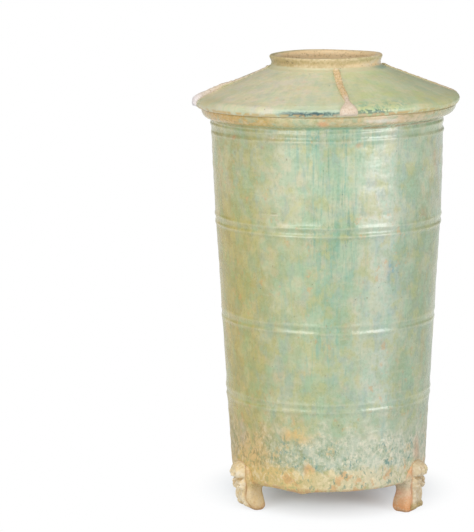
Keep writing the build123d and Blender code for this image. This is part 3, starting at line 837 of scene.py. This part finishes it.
def make_base(wall_glaze, bare_clay):
    """The base disc: a glazed, uneven rounded rim under the wall, and a bare underside that dips a little."""
    azimuth = full_turn(320)
    drip = 1.6 * hump(azimuth, math.radians(-16), math.radians(4.5)) + 0.7 * hump(azimuth, math.radians(-24), math.radians(6))
    drop = drip + 0.35 * wander(azimuth, 0.0, 21, waves=9, round_count=14)
    turn = np.linspace(0, np.pi / 2, 9)[:, None]
    edge = 2.8
    rim_height = base_level + edge * (1 - np.sin(turn)) - drop * np.sin(turn)
    rim_radius = wall_surface(base_level + edge + 0.0 * turn, azimuth) - edge * (1 - np.cos(turn))
    upper = np.linspace(floor_level, base_level + edge + 0.4, 7)[:, None]
    side_radius = wall_surface(upper, azimuth)
    shares = np.array([0.93, 0.86, 0.76, 0.62, 0.45, 0.28, 0.12])[:, None]
    under_radius = base_radius * shares + 0.0 * azimuth
    under_height = base_level + 0.9 * (1 - shares**4) - drop * np.clip((shares - 0.8) * 5, 0, 1)
    top_shares = np.array([0.1, 0.35, 0.65, 0.9])[:, None]
    top_radius = (base_radius - wall_thickness) * top_shares + 0.0 * azimuth
    top_height = floor_level + 0.0 * top_shares + 0.0 * azimuth
    radius = np.concatenate((top_radius, side_radius, rim_radius, under_radius))
    height = np.concatenate((top_height, upper + 0.0 * azimuth, rim_height, under_height))
    rings = handed(turned(radius, height, azimuth))
    finish_of_row = np.array([1] * 4 + [0] * (7 + 8) + [1] * 8)
    piece = shell("jar_base", rings, False, (wall_glaze, bare_clay), finish_of_row, {"level": height})
    place(piece, "bare_clay", "base_disc")


def roof_height(radius, azimuth):
    """Height of the roof's upper face: a straight fall from the collar to the eave, plus slow unevenness."""
    fall = eave_top_level + (eave_top_radius - radius) * math.tan(roof_pitch)
    return fall + 0.22 * wander(azimuth, radius, 41, round_count=5, rise=0.12) * smooth_step(radius, 38.0, 48.0)


def make_roof(roof_glaze, bare_clay):
    """The roof: rows down its upper face, round the rolled eave, in along the seam and up its bare underside."""
    azimuth = full_turn(320)
    seat = collar_foot_radius
    slope_radius = np.linspace(seat + 0.4, eave_top_radius - 3.4, 44)[:, None]
    slope_height = roof_height(slope_radius, azimuth)
    swell = 0.40 * wander(azimuth, 0.0, 43, waves=9, round_count=9)
    eave = np.array([(-2.1, 0.72), (-0.9, 0.15), (0.1, -0.5), (0.85, -1.3), (1.25, -2.2), (1.35, -3.0), (1.15, -3.9),
                     (0.75, -4.7), (0.3, -5.3), (-0.1, -5.65), (-0.5, -5.8)])
    eave_radius_rows = eave_top_radius + eave[:, :1] + swell
    wave = 0.35 * wander(azimuth, 0.0, 47, round_count=7) * smooth_step(eave[:, 1:], -5.2, -2.4)
    eave_height_rows = eave_top_level + eave[:, 1:] + wave
    inner = wall_line(np.array(seam_level)) - wall_thickness
    thickness = 7.3 / math.cos(roof_pitch)
    under_radius = np.concatenate(([84.0, inner + 0.5], np.linspace(inner, throat_radius, 26)))[:, None]
    under_height = np.concatenate(([seam_level, seam_level], roof_height(under_radius[2:, 0], np.array(0.0)) - thickness))[:, None]
    throat_height = np.linspace(under_height[-1, 0] + 1.5, collar_base_level - 0.3, 6)[:, None]
    seat_rows = np.array([(throat_radius, collar_base_level), (seat, collar_base_level)])
    radius = np.concatenate((slope_radius + 0 * azimuth, eave_radius_rows, under_radius + 0 * azimuth,
                             throat_radius + 0 * throat_height + 0 * azimuth, seat_rows[:, :1] + 0 * azimuth))
    height = np.concatenate((slope_height, eave_height_rows, under_height + 0 * azimuth,
                             throat_height + 0 * azimuth, seat_rows[:, 1:] + 0 * azimuth))
    rings = handed(turned(radius, height, azimuth))
    finish_of_row = np.array([0] * (44 + len(eave)) + [1] * (28 + 6) + [0] * 2)
    piece = shell("jar_roof", rings, True, (roof_glaze, bare_clay), finish_of_row, {"level": height})
    place(piece, "roof_glaze", "roof")


def make_collar(collar_glaze):
    """The mouth collar: a rounded outline of foot, neck and rolled lip turned round the throat."""
    azimuth = full_turn(256)
    low = collar_base_level
    outline = [
        (throat_radius, low), (collar_foot_radius, low - 0.2), (collar_foot_radius + 2.9, low - 1.5),
        (collar_foot_radius + 0.5, low + 0.1), (neck_radius + 1.1, low + 1.1), (neck_radius + 0.2, low + 2.3),
        (neck_radius, low + 3.8), (neck_radius + 0.4, low + 5.0), (lip_radius - 0.3, low + 6.3),
        (lip_radius + 0.1, crest_level - 1.0), (lip_radius - 0.5, crest_level), (lip_radius - 2.3, crest_level),
        (throat_radius + 0.7, crest_level - 0.9), (throat_radius, crest_level - 2.6)]
    line = rounded_outline(dense_outline(outline, 1.5), 1)
    swell = 0.22 * wander(azimuth, 0.0, 51, round_count=5)
    radius = line[:, :1] + swell
    rise = smooth_step(line[:, 1:], low + 2.0, crest_level)
    height = line[:, 1:] + rise * 0.25 * wander(azimuth, 0.0, 53, round_count=4)
    rings = handed(turned(radius, height, azimuth))
    piece = shell("mouth_rim", rings, True, (collar_glaze,))
    place(piece, "collar_glaze", "mouth_collar")


def make_ridge(side, degrees, ridge_glaze):
    """An applied ridge: an arched strip on the roof, knobbed above, flared and pressed over the eave.
    Its path runs straight down the roof and then round the rolled eave; across the path the height
    is a rounded arch along the path's normal, with its feet a little under the roof's face."""
    length = 140
    share = np.linspace(0.0, 1.0, length)[:, None]
    over_eave = [(-6.0, 2.4), (-2.4, 0.9), (-0.8, 0.1), (0.4, -0.8), (1.1, -1.9), (1.35, -3.0), (1.1, -4.0), (0.6, -4.9)]
    corners = np.array(
        [(neck_radius + 1.4, collar_base_level + 1.6), (collar_foot_radius + 0.5, collar_base_level + 0.2),
         (collar_foot_radius + 3.4, roof_height(collar_foot_radius + 3.4, 0.0))]
        + [(eave_top_radius + out, eave_top_level + rise) for out, rise in over_eave])
    spans = np.concatenate(([0.0], np.cumsum(np.hypot(*np.diff(corners, axis=0).T))))
    along = share * spans[-1]
    reach = np.interp(along, spans, corners[:, 0])
    surface = np.interp(along, spans, corners[:, 1])
    slope = np.arctan2(-np.gradient(surface[:, 0]), np.gradient(reach[:, 0]))
    slope = np.convolve(np.pad(slope, 4, mode="edge"), np.ones(9) / 9, mode="valid")[:, None]
    across_angle = np.linspace(0, 2 * np.pi, 28, endpoint=False)[None, :]
    flare = smooth_step(along, spans[-1] - ridge_flare_length - 3.0, spans[-1] - 2.0)
    drift = 0.35 * wander(0.0, along, 61 + int(degrees), round_count=1, rise=0.18)
    neck = 0.36 * hump(along, spans[-1] - ridge_flare_length - 3.5, 6.0) if side == "front" else 0.0 * along
    half = ridge_half_width * (1 - neck) + (ridge_flare_half_width - ridge_half_width) * flare
    knobs = 0.5 + 0.5 * np.cos(2 * np.pi * along / 3.8)
    knob_end = {"front": 0.34, "right": 0.0, "back": 0.78, "left": 0.50}[side]
    worn = {"front": 0.78, "right": 0.32, "back": 1.0, "left": 1.0}[side]
    knobbed = smooth_step(share, knob_end + 0.06, knob_end - 0.06)
    lift = ridge_height * worn * (1 - 0.42 * knobbed * knobs) * (1 - 0.30 * flare)
    if side == "left":
        lift = lift * (0.38 + 0.62 * smooth_step(share, 0.30, 0.62)) + 1.0 * hump(share, 0.90, 0.06)
    lift = lift * smooth_step(share, 0.0, 0.03) * smooth_step(share, 1.0, 0.975)
    half = half * (0.25 + 0.75 * smooth_step(share, -0.01, 0.05)) * (0.92 + 0.08 * smooth_step(share, 1.01, 0.97))
    half = half * (1 + 0.10 * knobbed * np.cos(2 * np.pi * along / 3.8 + np.pi))
    arch = np.sin(across_angle)
    up = np.where(arch > 0, arch**0.8 * lift, arch * 0.9)
    rough = 0.14 * wander(across_angle, along, 63 + int(degrees), waves=14, round_count=4, rise=2.2) * (arch > 0)
    angle = math.radians(degrees) + (np.cos(across_angle) * half + drift) / reach
    radius = reach + np.sin(slope) * (up + rough)
    height = surface + np.cos(slope) * (up + rough)
    rings = handed(turned(radius, height, angle))
    marks = {"along": share + 0 * across_angle, "lift": np.clip(arch, 0, 1) + 0 * share}
    piece = shell(f"roof_ridge_{side}_strip", rings, False, (ridge_glaze,), None, marks)
    place(piece, "ridge_glaze", f"roof_ridge_{side}")


def foot_point(degrees, reach, across, height):
    """A point of a foot: out from the axis by its reach, across by a distance and up, turned to the foot's azimuth."""
    turn = math.radians(degrees)
    x = reach * math.sin(turn) + across * math.cos(turn)
    y = -reach * math.cos(turn) + across * math.sin(turn)
    return np.stack(np.broadcast_arrays(x, y, height), axis=-1)


def make_block(place_name, degrees, bare_clay):
    """The block of a foot: stacked rounded rectangles that swell, spread into the base and are worn round below."""
    height = np.concatenate((np.linspace(0.0, 3.4, 10), np.linspace(4.2, 21.0, 20), np.linspace(22.0, foot_top_height - 0.6, 14)))[:, None]
    around = np.linspace(0, 2 * np.pi, 72, endpoint=False)[None, :]
    worn = 3.4 - np.sqrt(np.clip(3.4**2 - (3.4 - np.minimum(height, 3.4)) ** 2, 0, None))
    spread = smooth_step(height, 16.5, 21.5)
    left = place_name == "front_left"
    inner = foot_inner_reach - (0.6 if left else 0.4) - 2.0 * spread - 1.0 * hump(height, 4.0, 5.0) + 1.4 * hump(height, 15.0, 4.0)
    over = smooth_step(height, 20.0, 24.0)
    inner = inner * (1 - over) + (wall_line(height) - 1.5) * over
    tuck = 4.6 * smooth_step(height, 10.0, 0.0) if left else 0.6 * smooth_step(height, 8.0, 0.0)
    outer = foot_face_reach - tuck + 0.5 * spread
    half_depth = (outer - inner) / 2
    middle = (outer + inner) / 2
    rise = (height - foot_shoulder_height) / (foot_top_height - foot_shoulder_height)
    arch = np.sqrt(np.clip(1 - np.clip(rise, 0, 1) ** 2, 0.02, 1))
    half_width = (foot_half_width + 0.8 * hump(height, 5.0, 6.0) + 2.0 * spread) * arch
    power = 2.0 / 4.2
    cosine, sine = np.cos(around), np.sin(around)
    out = np.sign(cosine) * np.abs(cosine) ** power
    wide = np.sign(sine) * np.abs(sine) ** power
    uneven = 1 + 0.02 * wander(around, height, 71 + int(degrees), waves=12, round_count=9, rise=0.5)
    reach = middle + (half_depth - 0.8 * worn) * out * uneven
    across = (half_width - 0.8 * worn) * wide * uneven
    rings = handed(foot_point(degrees, reach, across, height))
    piece = shell(f"foot_block_{place_name}_clay", rings, False, (bare_clay,))
    place(piece, "bare_clay", f"foot_block_{place_name}")


def bump_on(across, up, centre, half, depth, turn=0.0):
    """An egg-shaped swelling: depth times the root of one less the squared distance in half sizes, turned by an angle."""
    x = across - centre[0]
    y = up - centre[1]
    along = x * math.cos(turn) + y * math.sin(turn)
    over = -x * math.sin(turn) + y * math.cos(turn)
    inside = 1 - (along / half[0]) ** 2 - (over / half[1]) ** 2
    return depth * np.sqrt(np.clip(inside, 0.0, 1.0))


def soft_union(forms, softness=0.55):
    """The greatest of several heights with soft joins: softness times the log of the sum of their exponentials."""
    stack = np.stack(np.broadcast_arrays(*forms))
    return softness * np.log(np.exp(stack / softness).sum(axis=0)) - softness * math.log(len(forms)) * 0.5


def bear_relief(across, up):
    """Height of the squatting bear off its ground: brow, muzzle, ears, cheeks, arms bent on its knees, belly, shins and toes."""
    mirrored = np.abs(across)
    forms = [
        0.0 * across,
        bump_on(across, up, (0, 29.2), (7.4, 6.0), 7.8),
        bump_on(across, up, (0, 27.0), (3.2, 2.6), 8.4),
        bump_on(mirrored, up, (5.0, 33.0), (1.8, 1.8), 5.0),
        bump_on(mirrored, up, (4.4, 27.2), (2.6, 2.6), 6.0),
        bump_on(mirrored, up, (5.4, 21.6), (2.0, 2.6), 4.6, 0.30),
        bump_on(mirrored, up, (5.2, 18.4), (1.9, 3.4), 4.4, -0.25),
        bump_on(mirrored, up, (2.9, 18.4), (2.5, 2.0), 5.4),
        bump_on(across, up, (0, 20.6), (3.6, 3.2), 4.2),
        bump_on(mirrored, up, (4.2, 11.2), (1.9, 5.0), 2.6, 0.06),
        bump_on(mirrored, up, (4.0, 4.8), (2.6, 2.6), 3.4),
        bump_on(across, up, (0, 11.0), (2.4, 5.0), 1.4),
    ]
    relief = soft_union(forms, 0.7)
    eye = 0.8 * hump(mirrored, 2.5, 0.7) * hump(up, 30.4, 0.7)
    mouth = 0.5 * hump(across, 0.0, 2.0) * hump(up, 25.4, 0.5)
    nostril = 0.4 * hump(mirrored, 0.9, 0.45) * hump(up, 28.0, 0.45)
    ear_bowl = 0.7 * hump(mirrored, 5.0, 0.8) * hump(up, 33.0, 0.8)
    chin = 0.9 * hump(up, 23.5, 0.8) * hump(mirrored, 0.0, 5.5)
    claws = 0.6 * np.maximum(0, np.cos(mirrored * 2 * np.pi / 1.8)) ** 4 * hump(up, 3.6, 1.5) * hump(mirrored, 4.0, 2.6)
    fingers = np.maximum(0, np.cos((mirrored - 2.9) * 2 * np.pi / 1.5 + np.pi)) ** 4
    fingers = 0.4 * fingers * hump(up, 17.6, 1.2) * hump(mirrored, 2.9, 2.2)
    fur = 0.12 * np.cos(up * 2.4 + mirrored * 1.1) * smooth_step(mirrored, 3.5, 6.0) * smooth_step(up, 25.0, 21.0)
    return relief - eye - mouth - nostril - ear_bowl - chin - claws - fingers + fur


def bear_outline(up):
    """Half width of the bear at a height: feet, narrower shins, elbows and knees, a neck, the head and its ears."""
    heights = (0.0, 2.2, 6.0, 9.0, 13.0, 17.5, 21.0, 23.2, 26.5, 31.0, 33.6, bear_height)
    halves = (5.4, 6.4, 6.6, 5.9, 5.9, 7.0, 7.0, 6.5, 7.1, 7.1, 6.2, 3.4)
    close = np.linspace(0, bear_height, 200)
    line = np.interp(close, heights, halves)
    smoothed = np.convolve(np.pad(line, 4, mode="edge"), np.hanning(11)[1:-1] / np.hanning(11).sum(), mode="valid")
    return np.interp(up, close, smoothed)


def make_bear(place_name, degrees, foot_glaze):
    """A moulded bear: rings at each height run over its relief and back behind it against the block."""
    foot_gap = 2.0
    up = np.linspace(foot_gap, bear_height - 0.1, 128)[:, None]
    front = np.linspace(-1.0, 1.0, 92)
    back = np.linspace(0.86, -0.86, 24)
    half = bear_outline(up)
    across_front = half * front[None, :]
    relief = bear_relief(across_front, up + 0 * across_front)
    edge = np.clip((half - np.abs(across_front)) / 2.0, 0, 1)
    roundness = np.sqrt(np.clip(1 - (1 - edge) ** 2, 0, 1))
    worn = 1 + 0.07 * wander(front[None, :] * 3, up, 81 + int(degrees), waves=12, round_count=6, rise=0.7)
    crown = np.sqrt(np.clip(1 - np.clip((up - bear_height + 3.6) / 3.6, 0, 1) ** 2, 0.01, 1))
    sole = np.sqrt(np.clip(1 - np.clip((foot_gap + 1.8 - up) / 1.8, 0, 1) ** 2, 0.04, 1))
    depth = (0.8 + relief * worn) * roundness * crown * sole
    left = place_name == "front_left"
    tuck = 4.4 * smooth_step(up, 10.0, 1.0) if left else 0.4 * smooth_step(up, 8.0, 0.0)
    front_reach = foot_face_reach + depth - tuck
    back_reach = foot_face_reach - 1.6 - tuck
    reach = np.concatenate((front_reach, back_reach + 0 * back[None, :]), axis=1)
    across = np.concatenate((across_front, half * back[None, :]), axis=1)
    rings = handed(foot_point(degrees, reach, across, up + 0 * across))
    shade = np.concatenate((np.clip(depth / 5.5, 0, 1), np.zeros((len(up), len(back)))), axis=1)
    piece = shell(f"bear_{place_name}", rings, False, (foot_glaze,), None, {"relief": shade})
    place(piece, "foot_glaze", f"bear_foot_{place_name}")


# Studio


def make_floor():
    """A pale level floor, which keeps the jar's shadow and fades to white away from it."""
    reach = np.array([-9000.0, 9000.0])
    points = np.stack(np.broadcast_arrays(reach[None, :], reach[:, None], 0.0), axis=-1)
    mesh = bpy.data.meshes.new("studio_floor")
    mesh.from_pydata((points.reshape(-1, 3) * MM).tolist(), [], [(0, 1, 3, 2)])
    f = Finish("studio_paper")
    grain = f.noise(60, detail=2.0, offset=5.0)
    tone = f.mix(grain, (0.82, 0.90, 0.98, 1), (0.84, 0.92, 1.0, 1))
    paper = f.add("BsdfDiffuse", {"Color": tone, "Roughness": 0.5})
    white = f.add("Emission", {"Color": (1, 1, 1, 1), "Strength": 1.0})
    path = f.tree.nodes.new("ShaderNodeLightPath")
    mirrored = f.math("MAXIMUM", path.outputs["Is Glossy Ray"], path.outputs["Is Transmission Ray"])
    seen = f.math("MAXIMUM", path.outputs["Is Camera Ray"], mirrored)
    behind = f.math("SUBTRACT", f.y, shadow_back)
    spread = f.math("SQRT", f.math("ADD", f.math("MULTIPLY", f.x, f.x), f.math("MULTIPLY", behind, behind)))
    away = f.step(spread, shadow_start, shadow_reach)
    share = f.math("MULTIPLY", seen, f.math("ADD", shadow_lift, f.math("MULTIPLY", away, 1 - shadow_lift)))
    f.add("OutputMaterial", {"Surface": f.add("MixShader", {0: share, 1: paper, 2: white})})
    mesh.materials.append(f.material)
    floor = bpy.data.objects.new("studio_floor", mesh)
    bpy.context.scene.collection.objects.link(floor)


def make_light(name, degrees, elevation, distance, width, height, power, colour=(1, 1, 1)):
    """A soft box that looks at the middle of the jar from an azimuth and an elevation."""
    lamp = bpy.data.lights.new(name, "AREA")
    lamp.shape = "RECTANGLE"
    lamp.size = width
    lamp.size_y = height
    lamp.energy = power
    lamp.color = colour
    holder = bpy.data.objects.new(name, lamp)
    turn, lift = math.radians(degrees), math.radians(elevation)
    holder.location = (
        distance * math.sin(turn) * math.cos(lift),
        -distance * math.cos(turn) * math.cos(lift),
        0.19 + distance * math.sin(lift))
    holder.rotation_euler = (math.pi / 2 - lift, 0.0, turn)
    bpy.context.scene.collection.objects.link(holder)


def make_world():
    """An even pale room that a camera sees as white."""
    world = bpy.data.worlds.new("studio_room")
    world.use_nodes = True
    nodes, links = world.node_tree.nodes, world.node_tree.links
    nodes.clear()
    path = nodes.new("ShaderNodeLightPath")
    lit = nodes.new("ShaderNodeBackground")
    lit.inputs["Strength"].default_value = 0.27
    seen = nodes.new("ShaderNodeBackground")
    seen.inputs["Strength"].default_value = 1.0
    for background in (lit, seen):
        background.inputs["Color"].default_value = (1, 1, 1, 1)
    mixed = nodes.new("ShaderNodeMixShader")
    out = nodes.new("ShaderNodeOutputWorld")
    links.new(path.outputs["Is Camera Ray"], mixed.inputs[0])
    links.new(lit.outputs[0], mixed.inputs[1])
    links.new(seen.outputs[0], mixed.inputs[2])
    links.new(mixed.outputs[0], out.inputs["Surface"])
    bpy.context.scene.world = world


def make_camera():
    """The camera, level with the top of the jar half as high again, looking a little down and to the left."""
    camera = bpy.data.cameras.new("studio_camera")
    camera.sensor_width = 36.0
    camera.lens = 159.69
    camera.clip_end = 50.0
    holder = bpy.data.objects.new("studio_camera", camera)
    holder.location = (0.0, -1.600, 0.4474)
    holder.rotation_euler = (math.radians(90 - 10.05), 0.0, math.radians(2.221))
    bpy.context.scene.collection.objects.link(holder)
    bpy.context.scene.camera = holder


wall_glaze = wall_finish()
roof_glaze = roof_finish()
collar_glaze = collar_finish()
ridge_glaze = ridge_finish()
foot_glaze = foot_finish()
bare_clay = clay_finish()

make_wall(wall_glaze, bare_clay)
make_base(wall_glaze, bare_clay)
make_roof(roof_glaze, bare_clay)
make_collar(collar_glaze)
for side, degrees in ridge_azimuths.items():
    make_ridge(side, degrees, ridge_glaze)
for place_name, degrees in foot_azimuths.items():
    make_block(place_name, degrees, bare_clay)
    make_bear(place_name, degrees, foot_glaze)

make_floor()
make_light("left_softbox", -33.0, 11.0, 1.5, 1.05, 0.50, 8.4)
make_light("right_softbox", 50.0, 9.0, 1.5, 0.80, 0.50, 8.6)
make_light("top_softbox", -18.0, 64.0, 1.6, 1.30, 0.90, 12.5)
make_world()
make_camera()
bpy.context.scene.view_settings.view_transform = "Standard"
